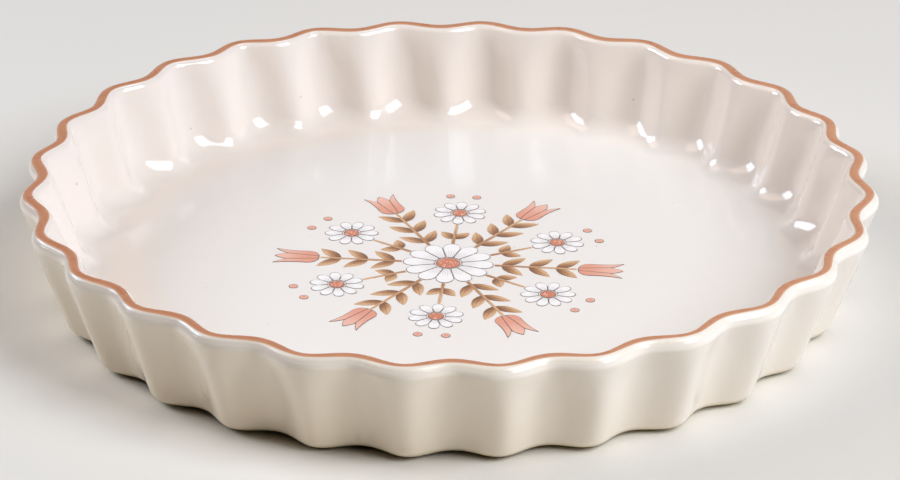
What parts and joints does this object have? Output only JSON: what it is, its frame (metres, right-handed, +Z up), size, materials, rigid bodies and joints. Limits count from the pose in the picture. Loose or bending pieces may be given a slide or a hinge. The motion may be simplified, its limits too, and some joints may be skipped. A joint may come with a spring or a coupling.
{
  "type": "quiche dish",
  "caption": "Shallow round baking dish in glazed stoneware, with a flared fluted wall, a coloured rim band, a low bare foot ring and a flower print on its floor.",
  "frame": {"origin": "centre of the foot ring, on the surface that the dish stands on", "axes": "+Z up through the middle of the dish; +X through the top of a lobe of the fluted wall"},
  "size_m": [0.28, 0.28, 0.038],
  "materials": {
    "ivory_glaze": "glossy ivory glaze",
    "rim_glaze": "glossy terracotta band",
    "bare_clay": "bare fired stoneware",
    "white_ink": "glossy fired-on white",
    "brown_ink": "glossy fired-on brown",
    "salmon_ink": "glossy fired-on salmon",
    "rust_ink": "glossy fired-on rust"
  },
  "bodies": {
    "root": {"dish_body": "ivory_glaze", "rim_band": "rim_glaze", "foot_ring": "bare_clay", "print_rosette": "white_ink", "print_rosette_eye": "rust_ink", "print_sprig_1": "brown_ink", "print_sprig_2": "brown_ink", "print_sprig_3": "brown_ink", "print_sprig_4": "brown_ink", "print_sprig_5": "brown_ink", "print_sprig_6": "brown_ink", "print_tulip_1": "salmon_ink", "print_tulip_2": "salmon_ink", "print_tulip_3": "salmon_ink", "print_tulip_4": "salmon_ink", "print_tulip_5": "salmon_ink", "print_tulip_6": "salmon_ink", "print_stalk_1": "brown_ink", "print_stalk_2": "brown_ink", "print_stalk_3": "brown_ink", "print_stalk_4": "brown_ink", "print_stalk_5": "brown_ink", "print_stalk_6": "brown_ink", "print_daisy_1": "white_ink", "print_daisy_2": "white_ink", "print_daisy_3": "white_ink", "print_daisy_4": "white_ink", "print_daisy_5": "white_ink", "print_daisy_6": "white_ink", "print_daisy_eye_1": "rust_ink", "print_daisy_eye_2": "rust_ink", "print_daisy_eye_3": "rust_ink", "print_daisy_eye_4": "rust_ink", "print_daisy_eye_5": "rust_ink", "print_daisy_eye_6": "rust_ink", "print_berry_1_left": "salmon_ink", "print_berry_2_left": "salmon_ink", "print_berry_3_left": "salmon_ink", "print_berry_4_left": "salmon_ink", "print_berry_5_left": "salmon_ink", "print_berry_6_left": "salmon_ink", "print_berry_1_right": "salmon_ink", "print_berry_2_right": "salmon_ink", "print_berry_3_right": "salmon_ink", "print_berry_4_right": "salmon_ink", "print_berry_5_right": "salmon_ink", "print_berry_6_right": "salmon_ink"}
  },
  "joints": []
}
